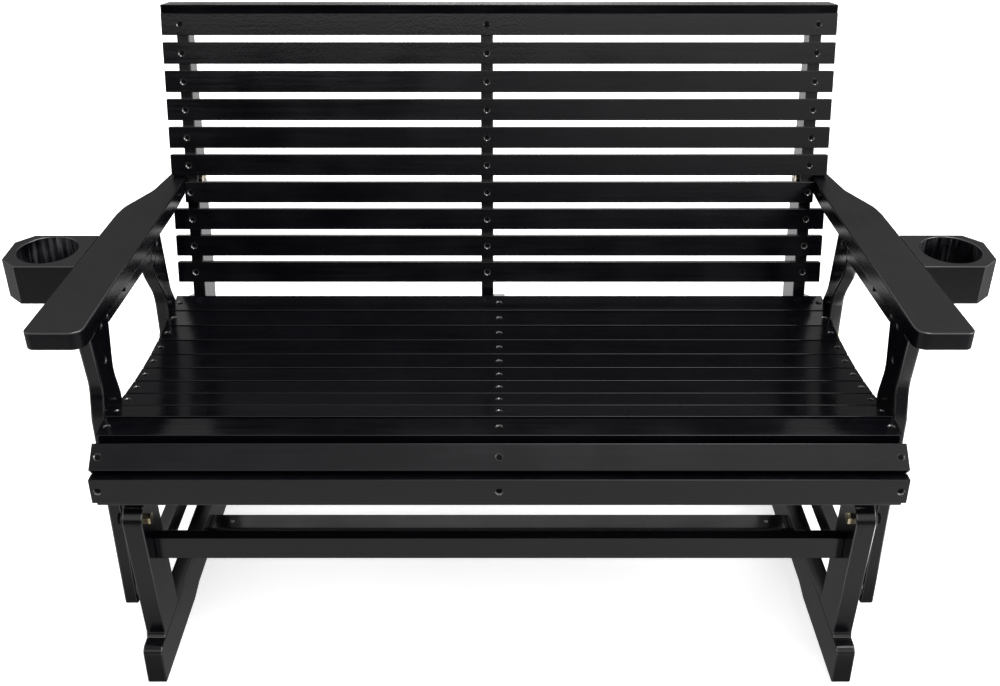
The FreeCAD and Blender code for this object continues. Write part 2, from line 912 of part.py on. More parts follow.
def build_wood_screws():
    edge = number("slat_length / 2 - seat_screw_inset")
    across_seat = (-edge, 0, edge)
    stile = number(stile_inner() + " + board_thick / 2")
    across_back = (-stile, -number("board_thick"), stile)
    thick = number("slat_thick")
    up = Vector(0, 0, 1)
    forward = Vector(0, -1, 0)
    screws = []
    for middle, chord, tilt in seat_facets():
        screws += row_of_screws(Placement(middle, Rotation(X_AXIS, tilt)), across_seat, 0, thick, up)
    screws += row_of_screws(apron_seat(), across_seat, number("apron_width / 2"), thick, up)
    lower = at(0, nose_low()[0] + " - slat_thick", lower_apron_top() + " - lower_apron_tall / 2")
    screws += row_of_screws(lower, across_seat, 0, 0, forward)
    for index in range(1, int(number("back_slat_count")) + 1):
        screws += row_of_screws(back_frame(back_slat_rise(index), "0"), across_back, 0, 0, forward)
    screws += row_of_screws(cap_frame(), across_back, number("cap_screw_place"), number("cap_thick"), up)
    for side in SIDES.values():
        for depth, height in post_screw_places():
            point = side_point(side, "slat_length / 2", depth, height)
            screws.append(screw(point, Vector(-side, 0, 0), "short_screw_length"))
    group("wood_screws", screws)


def bolt(start, out, grip):
    # Hexagonal head at the start, and a shank that reaches through the grip.
    head = hexagon(start, out, number("bolt_head_across"), number("bolt_head_thick"))
    shank = Part.makeCylinder(number("bolt_radius"), grip, start, -out)
    return head.fuse(shank).removeSplitter()


def bolt_places():
    # Bolts through a post and the board inside it, as depth and height.
    level = "seat_frame_bottom + bolt_rise"
    rail = "rail_bottom + rail_tall / 2"
    middle = "rear_post_front + rear_post_width / 2"
    return [
        ("post_width / 2 - front_bolt_spread", level),
        ("post_width / 2 + front_bolt_spread", level),
        (middle + " - rear_bolt_spread", level),
        (middle + " + rear_bolt_spread", level),
        ("post_width - rail_bolt_inset", rail),
        ("rear_post_front + rail_bolt_inset / 2", rail),
    ]


def stile_bolt_places():
    # Bolts through a stile and the bearer beside it.
    heights = ("seat_frame_bottom + stile_bolt_low", "seat_frame_bottom + stile_bolt_high")
    return [(back_line("(%s)" % height, "slat_thick + stile_depth / 2"), height) for height in heights]


def arm_bolt_places():
    # Bolts through a stile and the arm beside it.
    depths = ("(arm_back - arm_bolt_front)", "(arm_back - arm_bolt_back)")
    return [(depth, arm_underside(depth) + " + arm_thick / 2") for depth in depths]


def build_frame_bolts():
    bolts = []
    two_boards = number("2 * board_thick - bolt_cover")
    for side in SIDES.values():
        out = Vector(side, 0, 0)
        for depth, height in bolt_places():
            start = side_point(side, "slat_length / 2 + board_thick", depth, height)
            bolts.append(bolt(start, out, two_boards))
        for depth, height in stile_bolt_places() + arm_bolt_places():
            bolts.append(bolt(side_point(side, stile_inner(), depth, height), -out, two_boards))
    for depth, height in stile_bolt_places():
        start = side_point(-1, "1.5 * board_thick", depth, height)
        bolts.append(bolt(start, Vector(-1, 0, 0), two_boards))
    group("frame_bolts", bolts)


def build_base_screws():
    screws = []
    for side in SIDES.values():
        out = Vector(side, 0, 0)
        outer = leg_inner() + " + leg_thick"
        front = "leg_foot_place + leg_screw_place"
        for depth in (front, base_mirror(front)):
            screws.append(screw(side_point(side, outer, depth, "leg_screw_height"), out, "short_screw_length"))
        depth = "middle_front + middle_width / 2"
        point = side_point(side, leg_inner() + " - middle_screw_inset", depth, "middle_top")
        head = Part.makeCylinder(number("screw_head_radius"), number("screw_head_thick"), point)
        screws.append(head)
    group("base_screws", screws)


# The finished bench

def centre_over_origin():
    # Half way between the foremost and the rearmost point of the whole bench.
    boxes = [piece.Shape.BoundBox for piece in pieces]
    middle = (min(box.YMin for box in boxes) + max(box.YMax for box in boxes)) / 2
    shift = Placement(Vector(0, -middle, number("foot_drop")), Rotation())
    for piece in pieces:
        piece.Placement = shift * piece.Placement
    doc.recompute()
    return middle


def check_model():
    for item in doc.Objects:
        if "Invalid" in item.State or "Error" in item.State:
            raise ValueError("%s (%s) did not recompute" % (item.Label, item.Name))
    for piece in pieces:
        if piece.Shape.isNull() or not piece.Shape.isValid():
            raise ValueError(piece.Label + " has no valid shape")


def write_steps():
    os.makedirs("parts", exist_ok=True)
    for piece in pieces:
        piece.Shape.exportStep("parts/%s.step" % piece.Label)


def build_bench():
    fill_sheet()
    build_runners()
    build_legs()
    build_stretchers()
    build_base_screws()
    build_hangers()
    build_pivot_bolts()
    build_bearers()
    build_front_slats()
    build_lower_rails()
    build_front_posts()
    build_rear_posts()
    build_cleats()
    build_arms()
    build_cup_holders()
    build_seat_slats()
    build_stiles()
    build_back_slats()
    build_cap()
    build_wood_screws()
    build_frame_bolts()
    doc.recompute()
    return centre_over_origin()


middle_depth = build_bench()
check_model()
write_steps()
print("pieces", len(pieces), "middle", round(middle_depth, 3))
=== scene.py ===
import json
import logging
import math
from dataclasses import dataclass, field
from enum import Enum, IntEnum
from typing import Optional, Union

import bmesh
import bpy
from mathutils import Matrix, Vector
from mathutils.bvhtree import BVHTree


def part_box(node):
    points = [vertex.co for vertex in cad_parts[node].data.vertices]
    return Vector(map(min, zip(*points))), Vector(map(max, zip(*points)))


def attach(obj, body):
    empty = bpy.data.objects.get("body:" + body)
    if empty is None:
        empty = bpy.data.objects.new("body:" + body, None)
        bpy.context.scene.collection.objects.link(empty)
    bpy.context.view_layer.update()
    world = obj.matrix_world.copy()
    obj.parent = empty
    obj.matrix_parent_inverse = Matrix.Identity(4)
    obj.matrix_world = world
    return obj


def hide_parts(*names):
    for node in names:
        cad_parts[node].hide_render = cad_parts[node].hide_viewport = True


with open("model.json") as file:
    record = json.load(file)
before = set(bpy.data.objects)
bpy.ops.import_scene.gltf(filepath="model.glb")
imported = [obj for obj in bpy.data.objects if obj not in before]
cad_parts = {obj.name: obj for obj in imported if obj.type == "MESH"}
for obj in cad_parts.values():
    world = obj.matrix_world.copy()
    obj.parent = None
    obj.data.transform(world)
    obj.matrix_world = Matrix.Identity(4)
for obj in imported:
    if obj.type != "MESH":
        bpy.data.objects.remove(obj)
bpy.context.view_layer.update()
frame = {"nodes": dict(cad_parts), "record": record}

# A black slatted glider bench. Lengths are in metres, +Y runs from the front to the back.

SMOOTH_ANGLE = math.radians(32)
FLAT_ANGLE = math.radians(0.6)
MERGE_DISTANCE = 1e-6
LEVEL_COSINE = 0.9
PARALLEL_COSINE = 0.95
# The Mix node's colour sockets share their names with its other kinds, so they go by number
MIX_COLOURS = (6, 7)
MIX_RESULT = 2
log = logging.getLogger("glider_bench")

Tree = bpy.types.NodeTree
Socket = bpy.types.NodeSocket
Mesh = bmesh.types.BMesh
Level = Union[Socket, float]
Colour = tuple[float, float, float]


class Grain(Enum):
    """The way a board's length runs, as stretches of its pattern along X, Y and Z."""

    ALONG_X = (7.0, 190.0, 190.0)
    ALONG_Y = (190.0, 7.0, 190.0)
    ALONG_Z = (190.0, 190.0, 7.0)


class Slot(IntEnum):
    """A board's material slots, in the order of its finishes."""

    NEIGHBOUR = -1
    FACE = 0
    EDGE = 1
    SCREW_SEAT = 2
    EXTRA = 3
    SECOND_EXTRA = 4


@dataclass(frozen=True)
class Fade:
    """A smooth change of level between two readings of a value."""

    start: float
    end: float
    low: float = 0.0
    high: float = 1.0


# Shader nodes

def set_input(tree: Tree, target: Socket, value: Level) -> None:
    """Link a socket to an input, or give the input a plain value.

    Args:
        tree: The node tree.
        target: The input.
        value: The socket or the value.
    """
    if isinstance(value, bpy.types.NodeSocket):
        tree.links.new(value, target)
    else:
        target.default_value = value


def new_group(name: str, inputs: dict[str, float], outputs: tuple[str, ...]) -> Tree:
    """Start a shader node group whose sockets all carry numbers.

    Args:
        name: The group's name.
        inputs: Input names and their usual values.
        outputs: Output names.

    Returns:
        The empty group, with its input and output nodes inside.
    """
    kind = "NodeSocketFloat"
    group = bpy.data.node_groups.new(name, "ShaderNodeTree")
    for label, value in inputs.items():
        socket = group.interface.new_socket(name=label, in_out="INPUT", socket_type=kind)
        socket.default_value = value
    for label in outputs:
        group.interface.new_socket(name=label, in_out="OUTPUT", socket_type=kind)
    group.nodes.new("NodeGroupInput")
    group.nodes.new("NodeGroupOutput")
    return group


def end_nodes(group: Tree) -> tuple[bpy.types.Node, bpy.types.Node]:
    """Find a group's own ends.

    Args:
        group: The group.

    Returns:
        Its input node and its output node.
    """
    first = next(node for node in group.nodes if node.type == "GROUP_INPUT")
    last = next(node for node in group.nodes if node.type == "GROUP_OUTPUT")
    return first, last


def place_group(tree: Tree, group: Tree, values: dict[str, float]) -> bpy.types.Node:
    """Put a shared group into a material.

    Args:
        tree: The material's node tree.
        group: The shared group.
        values: The values of its inputs.

    Returns:
        The group's node.
    """
    node = tree.nodes.new("ShaderNodeGroup")
    node.node_tree = group
    for label, value in values.items():
        node.inputs[label].default_value = value
    return node


def noise(tree: Tree, vector: Socket, scale: float, detail: float) -> Socket:
    """Add a noise texture that reads the given coordinates.

    Args:
        tree: The node tree to add it to.
        vector: The coordinates.
        scale: Features per metre.
        detail: Octaves.

    Returns:
        The noise.
    """
    node = tree.nodes.new("ShaderNodeTexNoise")
    node.inputs["Scale"].default_value = scale
    node.inputs["Detail"].default_value = detail
    tree.links.new(vector, node.inputs["Vector"])
    return node.outputs[0]


def calculate(tree: Tree, kind: str, first: Level, second: Level) -> Socket:
    """Add a Math node whose inputs are sockets or plain numbers.

    Args:
        tree: The node tree to add it to.
        kind: The operation.
        first: The first socket or number.
        second: The second socket or number.

    Returns:
        The node's output.
    """
    node = tree.nodes.new("ShaderNodeMath")
    node.operation = kind
    for target, value in zip(node.inputs, (first, second)):
        set_input(tree, target, value)
    return node.outputs[0]


def ramp(tree: Tree, value: Socket, fade: Fade, low: Optional[Level] = None,
         high: Optional[Level] = None) -> Socket:
    """Lead a value smoothly from one level to another.

    Args:
        tree: The node tree to add it to.
        value: The value that is read.
        fade: The readings between which the level changes, and its levels.
        low: The first level, where it isn't the fade's own.
        high: The second level, where it isn't the fade's own.

    Returns:
        The result.
    """
    node = tree.nodes.new("ShaderNodeMapRange")
    node.interpolation_type = "SMOOTHSTEP"
    node.inputs["From Min"].default_value = fade.start
    node.inputs["From Max"].default_value = fade.end
    tree.links.new(value, node.inputs["Value"])
    set_input(tree, node.inputs["To Min"], fade.low if low is None else low)
    set_input(tree, node.inputs["To Max"], fade.high if high is None else high)
    return node.outputs["Result"]


def blend(tree: Tree, mask: Socket, dark: Union[Socket, Colour], light: Colour) -> Socket:
    """Mix two colours by a mask.

    Args:
        tree: The material's node tree.
        mask: The share of the second colour.
        dark: The first colour, a socket or three numbers.
        light: The second colour.

    Returns:
        The mixed colour.
    """
    mix = tree.nodes.new("ShaderNodeMix")
    mix.data_type = "RGBA"
    tree.links.new(mask, mix.inputs["Factor"])
    for index, colour in zip(MIX_COLOURS, (dark, light)):
        opaque = colour if isinstance(colour, bpy.types.NodeSocket) else (*colour, 1.0)
        set_input(tree, mix.inputs[index], opaque)
    return mix.outputs[MIX_RESULT]


def split_axes(tree: Tree, kind: str) -> tuple[Socket, Socket, Socket]:
    """Read one kind of texture coordinates.

    Args:
        tree: The node tree.
        kind: The kind of coordinates.

    Returns:
        Their X, Y and Z.
    """
    parts = tree.nodes.new("ShaderNodeSeparateXYZ")
    tree.links.new(tree.nodes.new("ShaderNodeTexCoord").outputs[kind], parts.inputs[0])
    return parts.outputs["X"], parts.outputs["Y"], parts.outputs["Z"]


def plain_white_direct(tree: Tree, level: Socket) -> Socket:
    """Keep a level for reflections and lighting, and turn it to one for direct sight."""
    direct = tree.nodes.new("ShaderNodeLightPath").outputs["Is Camera Ray"]
    return ramp(tree, direct, Fade(0.0, 1.0), low=level)


# Shader groups that several finishes share

@dataclass(frozen=True)
class PaintFilm:
    """The sprayed film of paint: streaks along the grain, dimples, and patches of gloss."""

    roughness: float = 0.3
    unevenness: float = 0.05
    peel_height: float = 0.5
    grain_height: float = 0.4
    grain_detail: float = 4.0
    peel_scale: float = 260.0
    peel_detail: float = 2.0
    cloud_scale: float = 9.0
    cloud_detail: float = 3.0
    cloud_share: float = 0.6
    grain_share: float = 0.4
    patches: Fade = Fade(0.3, 0.7)

    def build(self) -> Tree:
        """Build the group.

        Returns:
            A group that puts out roughness, a light and dark mask, and a height.
        """
        along_x, along_y, along_z = Grain.ALONG_X.value
        group = new_group("paint_film", {
            "Roughness": self.roughness, "Unevenness": self.unevenness,
            "Along X": along_x, "Along Y": along_y, "Along Z": along_z,
            "Peel Height": self.peel_height, "Grain Height": self.grain_height,
        }, ("Roughness", "Mottle", "Height"))
        first, last = end_nodes(group)
        place = group.nodes.new("ShaderNodeTexCoord").outputs["Object"]
        stretch = group.nodes.new("ShaderNodeCombineXYZ")
        for axis in "XYZ":
            group.links.new(first.outputs["Along " + axis], stretch.inputs[axis])
        along = group.nodes.new("ShaderNodeVectorMath")
        along.operation = "MULTIPLY"
        group.links.new(place, along.inputs[0])
        group.links.new(stretch.outputs[0], along.inputs[1])
        grain = noise(group, along.outputs[0], 1.0, self.grain_detail)
        peel = noise(group, place, self.peel_scale, self.peel_detail)
        cloud = noise(group, place, self.cloud_scale, self.cloud_detail)
        streaks = calculate(group, "MULTIPLY", grain, first.outputs["Grain Height"])
        dimples = calculate(group, "MULTIPLY", peel, first.outputs["Peel Height"])
        group.links.new(calculate(group, "ADD", streaks, dimples), last.inputs["Height"])
        usual, spread = first.outputs["Roughness"], first.outputs["Unevenness"]
        wet = calculate(group, "SUBTRACT", usual, spread)
        dry = calculate(group, "ADD", usual, spread)
        patches = calculate(group, "ADD", calculate(group, "MULTIPLY", cloud, self.cloud_share),
                            calculate(group, "MULTIPLY", grain, self.grain_share))
        group.links.new(ramp(group, patches, self.patches, wet, dry), last.inputs["Roughness"])
        group.links.new(ramp(group, patches, self.patches), last.inputs["Mottle"])
        return group


@dataclass(frozen=True)
class SettledDust:
    """The thin dust that settles where a surface looks up."""

    amount: float = 0.3
    speck_scale: float = 60.0
    speck_detail: float = 6.0
    specks: Fade = Fade(0.3, 0.7, 0.35, 1.0)
    falloff: float = 4.0

    def build(self) -> Tree:
        """Build the group.

        Returns:
            A group that puts out a mask.
        """
        group = new_group("settled_dust", {"Amount": self.amount}, ("Mask",))
        first, last = end_nodes(group)
        facing = group.nodes.new("ShaderNodeSeparateXYZ")
        normal = group.nodes.new("ShaderNodeNewGeometry").outputs["Normal"]
        group.links.new(normal, facing.inputs[0])
        place = group.nodes.new("ShaderNodeTexCoord").outputs["Object"]
        specks = noise(group, place, self.speck_scale, self.speck_detail)
        upward = calculate(group, "MAXIMUM", facing.outputs["Z"], 0.0)
        upward = calculate(group, "POWER", upward, self.falloff)
        mask = calculate(group, "MULTIPLY", upward, ramp(group, specks, self.specks))
        mask = calculate(group, "MULTIPLY", mask, first.outputs["Amount"])
        group.links.new(mask, last.inputs["Mask"])
        return group


# Finishes

@dataclass(frozen=True)
class Material:
    """What every finish has: a name and a pair of colours that it drifts between."""

    name: str
    dark: Colour
    light: Colour
    roughness: float
    specular: float = 0.5

    def start(self) -> tuple[bpy.types.Material, bpy.types.Node]:
        """Start the finish's node material.

        Returns:
            The material and its Principled shader.
        """
        material = bpy.data.materials.new(self.name)
        material.use_nodes = True
        shader = material.node_tree.nodes["Principled BSDF"]
        shader.inputs["Specular IOR Level"].default_value = self.specular
        return material, shader

    def raise_surface(self, tree: Tree, height: Socket, strength: float, depth: float) -> None:
        """Turn a height into the shader's normal.

        Args:
            tree: The material's node tree.
            height: The height.
            strength: How much of it shows.
            depth: What a height of one stands for, in metres.
        """
        bump = tree.nodes.new("ShaderNodeBump")
        bump.inputs["Strength"].default_value = strength
        bump.inputs["Distance"].default_value = depth
        tree.links.new(height, bump.inputs["Height"])
        tree.links.new(bump.outputs["Normal"], tree.nodes["Principled BSDF"].inputs["Normal"])


@dataclass(frozen=True)
class PaintedBoard(Material):
    """Semi-gloss black paint over planed boards."""

    grain: Grain = Grain.ALONG_X
    dust: float = 0.06
    dust_colour: Colour = (0.03, 0.03, 0.029)
    peel: float = 0.5
    grain_height: float = 0.35
    # Sharpens the mottle into a few light streaks; the cup recess uses it for painted reflections.
    contrast: float = 1.0
    bump_strength: float = 0.35
    bump_depth: float = 0.00035

    def make(self, groups: dict[str, Tree]) -> bpy.types.Material:
        """Build the material.

        Args:
            groups: The shared groups by name.

        Returns:
            The material.
        """
        material, shader = self.start()
        tree = material.node_tree
        along_x, along_y, along_z = self.grain.value
        film = place_group(tree, groups["paint_film"], {
            "Roughness": self.roughness,
            "Along X": along_x, "Along Y": along_y, "Along Z": along_z,
            "Peel Height": self.peel, "Grain Height": self.grain_height})
        dust = place_group(tree, groups["settled_dust"], {"Amount": self.dust})
        # The mottle is random tone; where a finish's light colour is bright, as in the cup recess,
        # at the screws' rims and on rounded edges, its light patches are painted reflections and
        # highlights.
        streaks = calculate(tree, "POWER", film.outputs["Mottle"], self.contrast)
        painted = blend(tree, streaks, self.dark, self.light)
        dusty = blend(tree, dust.outputs["Mask"], painted, self.dust_colour)
        tree.links.new(dusty, shader.inputs["Base Color"])
        tree.links.new(film.outputs["Roughness"], shader.inputs["Roughness"])
        self.raise_surface(tree, film.outputs["Height"], self.bump_strength, self.bump_depth)
        return material


@dataclass(frozen=True)
class PlatedSteel(Material):
    """Bare, painted or plated steel of straps, screws and bolts."""

    metallic: float = 1.0
    unevenness: float = 0.08
    speckle: float = 700.0
    peel: float = 0.3
    grain_height: float = 0.5
    bump_strength: float = 0.25
    bump_depth: float = 0.0001

    def make(self, groups: dict[str, Tree]) -> bpy.types.Material:
        """Build the material.

        Args:
            groups: The shared groups by name.

        Returns:
            The material.
        """
        material, shader = self.start()
        tree = material.node_tree
        film = place_group(tree, groups["paint_film"], {
            "Roughness": self.roughness, "Unevenness": self.unevenness,
            "Along X": self.speckle, "Along Y": self.speckle, "Along Z": self.speckle,
            "Peel Height": self.peel, "Grain Height": self.grain_height})
        colour = blend(tree, film.outputs["Mottle"], self.dark, self.light)
        tree.links.new(colour, shader.inputs["Base Color"])
        tree.links.new(film.outputs["Roughness"], shader.inputs["Roughness"])
        shader.inputs["Metallic"].default_value = self.metallic
        self.raise_surface(tree, film.outputs["Height"], self.bump_strength, self.bump_depth)
        return material


def bench_finishes() -> list[Material]:
    """List the bench's finishes.

    Returns:
        The finishes of paint and steel.
    """
    dark = (0.0008, 0.0008, 0.0016)
    light = (0.002, 0.002, 0.0032)
    return [
        PaintedBoard("paint_across", dark, light, roughness=0.14, specular=0.33,
                     grain_height=0.2),
        PaintedBoard("paint_seat", dark, light, roughness=0.15, specular=0.33, dust=0.03),
        PaintedBoard("paint_lengthwise", dark, light, roughness=0.2, specular=0.3,
                     grain=Grain.ALONG_Y),
        PaintedBoard("paint_upright", dark, light, roughness=0.2, specular=0.3,
                     grain=Grain.ALONG_Z, peel=0.25, grain_height=0.2),
        PaintedBoard("paint_arm", dark, light, roughness=0.33, specular=0.28,
                     grain=Grain.ALONG_Y, peel=0.9),
        PaintedBoard("paint_arm_side", dark, light, roughness=0.24, specular=0.21,
                     grain=Grain.ALONG_Y, peel=0.4, grain_height=0.2),
        PaintedBoard("paint_cup_block", dark, light, roughness=0.33, specular=0.36,
                     grain=Grain.ALONG_Y, peel=0.9),
        # The recess's light streaks are painted reflections; its low roughness and full specular
        # are the thick paint's real gloss.
        PaintedBoard("paint_cup", dark, (0.13, 0.13, 0.14), roughness=0.1, specular=1.0,
                     grain=Grain.ALONG_Z, peel=4.0, grain_height=7.0, contrast=5.0),
        # The rounded edges' lighter colour is a painted highlight; their low roughness and high
        # specular are the paint's real gloss.
        PaintedBoard("paint_edge_highlight", dark, (0.008, 0.008, 0.009), roughness=0.14, specular=0.9,
                     peel=0.3),
        PlatedSteel("strap_steel", (0.02, 0.02, 0.02), (0.04, 0.04, 0.04), roughness=0.4,
                    metallic=0.6),
        # The screws' seats: the light colour is a painted highlight ring; the low roughness and
        # full specular are real gloss.
        PaintedBoard("paint_rim_highlight", (0.003, 0.003, 0.003), (0.05, 0.05, 0.048), roughness=0.12,
                     specular=1.0, dust=0.0),
        PlatedSteel("black_screw", (0.0005, 0.0005, 0.0005), (0.002, 0.002, 0.002),
                    roughness=0.3, specular=0.06, metallic=0.0),
        PlatedSteel("bright_screw", (0.32, 0.31, 0.29), (0.5, 0.48, 0.44), roughness=0.3),
        PlatedSteel("yellow_zinc", (0.3, 0.24, 0.14), (0.62, 0.55, 0.4), roughness=0.17),
    ]


@dataclass
class Paintwork:
    """All finishes of the bench, made once and shared."""

    groups: dict[str, Tree] = field(default_factory=dict)
    made: dict[str, bpy.types.Material] = field(default_factory=dict)

    def build(self) -> None:
        """Build the shared groups and every material."""
        self.groups = {"paint_film": PaintFilm().build(), "settled_dust": SettledDust().build()}
        for finish in bench_finishes():
            self.made[finish.name] = finish.make(self.groups)
            log.info("finish %s", finish.name)


# Pieces made from the frame

def nodes_named(*starts: str) -> list[str]:
    """Return the frame's nodes whose names begin in one of the given ways."""
    return sorted(name for name in frame["nodes"] if name.startswith(starts))


def body_of(node: str) -> str:
    """Return the body that a node belongs to."""
    bodies = frame["record"]["behaviour"]["bodies"]
    return next(body for body, nodes in bodies.items() if node in nodes)


def clean_mesh(node: str) -> Mesh:
    """Copy a node's solid with whole faces in place of its triangles.

    Args:
        node: The node to copy.

    Returns:
        The copy, still to be freed.
    """
    copy = bmesh.new()
    copy.from_mesh(frame["nodes"][node].data)
    bmesh.ops.remove_doubles(copy, verts=copy.verts, dist=MERGE_DISTANCE)
    bmesh.ops.dissolve_limit(copy, angle_limit=FLAT_ANGLE, verts=copy.verts, edges=copy.edges)
    return copy


def finish_piece(mesh: Mesh, name: str, node: str,
                 materials: list[bpy.types.Material]) -> bpy.types.Object:
    """Turn a mesh into a piece that stands for a node.

    Args:
        mesh: The mesh, which is freed.
        name: The piece's name.
        node: The node it stands for.
        materials: Its finishes, by the material index of its faces.

    Returns:
        The piece.
    """
    data = bpy.data.meshes.new(name)
    for face in mesh.faces:
        face.smooth = True
    mesh.to_mesh(data)
    mesh.free()
    for material in materials:
        data.materials.append(material)
    piece = bpy.data.objects.new(name, data)
    bpy.context.scene.collection.objects.link(piece)
    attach(piece, body_of(node))
    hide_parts(node)
    return piece


def add_turned(mesh: Mesh, place: Matrix, rings: list[tuple[float, float, float]],
               count: int) -> None:
    """Add a closed turned shape, lowest ring first.

    Args:
        mesh: The mesh to add it to.
        place: The frame whose Z axis it is turned about.
        rings: Each ring's radius, the radius of every other point, and its height.
        count: Points in a ring.
    """
    made = []
    for outer, inner, height in rings:
        ring = []
        for index in range(count):
            angle = 2 * math.pi * index / count
            radius = inner if index % 2 else outer
            point = Vector((radius * math.cos(angle), radius * math.sin(angle), height))
            ring.append(mesh.verts.new(place @ point))
        made.append(ring)
    for below, above in zip(made, made[1:]):
        for index in range(count):
            after = (index + 1) % count
            mesh.faces.new((below[index], below[after], above[after], above[index]))
    mesh.faces.new(reversed(made[0]))
    mesh.faces.new(made[-1])


@dataclass(frozen=True)
class Fastener:
    """Where one screw sits on a surface and which way its head looks."""

    place: Vector
    outward: Vector

    def frame(self) -> Matrix:
        """Return the screw's own frame, with Z outwards from the surface."""
        turn = self.outward.to_track_quat("Z", "Y").to_matrix().to_4x4()
        return Matrix.Translation(self.place) @ turn


@dataclass
class Screws:
    """Star-headed screws: sunk black ones in the boards, two bright ones on a stretcher."""

    head: float = 0.004
    rise: float = 0.0006
    disc_share: float = 0.9
    touch: float = 0.0003
    sink: float = 0.0057
    sink_floor: float = 0.0038
    sink_depth: float = 0.0017
    overcut: float = 0.001
    margin: float = 0.001
    facets: int = 24
    star_points: int = 12
    bright_size: float = 1.0
    bright_lift: float = 0.0014
    # Radii as shares of the head's, and heights over the seat's floor
    profile: tuple[tuple[float, float, float], ...] = (
        (1.0, 1.0, -0.0005),
        (1.0, 1.0, 0.0003),
        (0.85, 0.85, 0.0007),
        (0.6, 0.6, 0.0008),
        (0.48, 0.336, 0.00078),
        (0.408, 0.288, 0.0),
    )
    spots: dict[str, list[Fastener]] = field(default_factory=dict)

    def find(self) -> None:
        """Find every screw by the round top of its head."""
        disc = self.disc_share * math.pi * self.head ** 2
        for node in nodes_named("wood_screws", "base_screws"):
            mesh = clean_mesh(node)
            found = []
            for face in mesh.faces:
                if face.calc_area() > disc and face.normal.z > -LEVEL_COSINE:
                    place = face.calc_center_median() - face.normal * self.rise
                    found.append(Fastener(place, face.normal.copy()))
            self.spots[node] = found
            mesh.free()

    def is_bright(self, node: str, spot: Fastener) -> bool:
        """Tell the middle stretcher's screws from the others."""
        return node == "base_screws" and spot.outward.z > LEVEL_COSINE

    def reach(self) -> float:
        """Return how far from its screw an edge or face may belong to a seat."""
        return self.sink + self.margin

    def on(self, mesh: Mesh) -> list[Fastener]:
        """List the sunk screws that sit on a board.

        Args:
            mesh: The board.

        Returns:
            Its screws.
        """
        tree = BVHTree.FromBMesh(mesh)
        found = []
        for node, spots in self.spots.items():
            for spot in spots:
                _, normal, _, gap = tree.find_nearest(spot.place)
                on_face = gap < self.touch and normal.dot(spot.outward) > PARALLEL_COSINE
                if on_face and not self.is_bright(node, spot):
                    found.append(spot)
        return found

    def sink_into(self, mesh: Mesh, spots: list[Fastener]) -> Mesh:
        """Cut a conical seat for each screw.

        Args:
            mesh: The board, which is freed.
            spots: Its screws.

        Returns:
            The cut board.
        """
        tool = bmesh.new()
        slope = (self.sink - self.sink_floor) / self.sink_depth
        wide = self.sink + self.overcut * slope
        rings = [(self.sink_floor, self.sink_floor, -self.sink_depth), (wide, wide, self.overcut)]
        for spot in spots:
            add_turned(tool, spot.frame(), rings, self.facets)
        pair = []
        for title, source in (("board", mesh), ("seats", tool)):
            data = bpy.data.meshes.new(title)
            source.to_mesh(data)
            source.free()
            pair.append(bpy.data.objects.new(title, data))
            bpy.context.scene.collection.objects.link(pair[-1])
        cut = pair[0].modifiers.new("seats", "BOOLEAN")
        cut.object = pair[1]
        cut.solver = "EXACT"
        graph = bpy.context.evaluated_depsgraph_get()
        result = bmesh.new()
        result.from_object(pair[0], graph)
        for thing in pair:
            bpy.data.meshes.remove(thing.data)
        return result

    def add_head(self, mesh: Mesh, place: Matrix, size: float, lift: float) -> None:
        """Add one head with its star recess.

        Args:
            mesh: The mesh of all heads.
            place: The screw's frame.
            size: How much larger than usual it is.
            lift: How much higher than usual it sits.
        """
        rim = self.sink_floor * size
        low = lift - self.sink_depth
        rings = [(outer * rim, inner * rim, low + height) for outer, inner, height in self.profile]
        add_turned(mesh, place, rings, self.star_points)

    def dress(self, paint: Paintwork) -> None:
        """Build the heads of both screw nodes and report them.

        Args:
            paint: The finishes.
        """
        for node, spots in self.spots.items():
            sunk = bmesh.new()
            bright = bmesh.new()
            for spot in spots:
                if self.is_bright(node, spot):
                    self.add_head(bright, spot.frame(), self.bright_size, self.bright_lift)
                else:
                    self.add_head(sunk, spot.frame(), 1.0, 0.0)
            for mesh, title in ((sunk, "black"), (bright, "bright")):
                if mesh.faces:
                    finish_piece(mesh, node + "_" + title, node, [paint.made[title + "_screw"]])
                else:
                    mesh.free()
            log.info("%s: %d heads", node, len(spots))


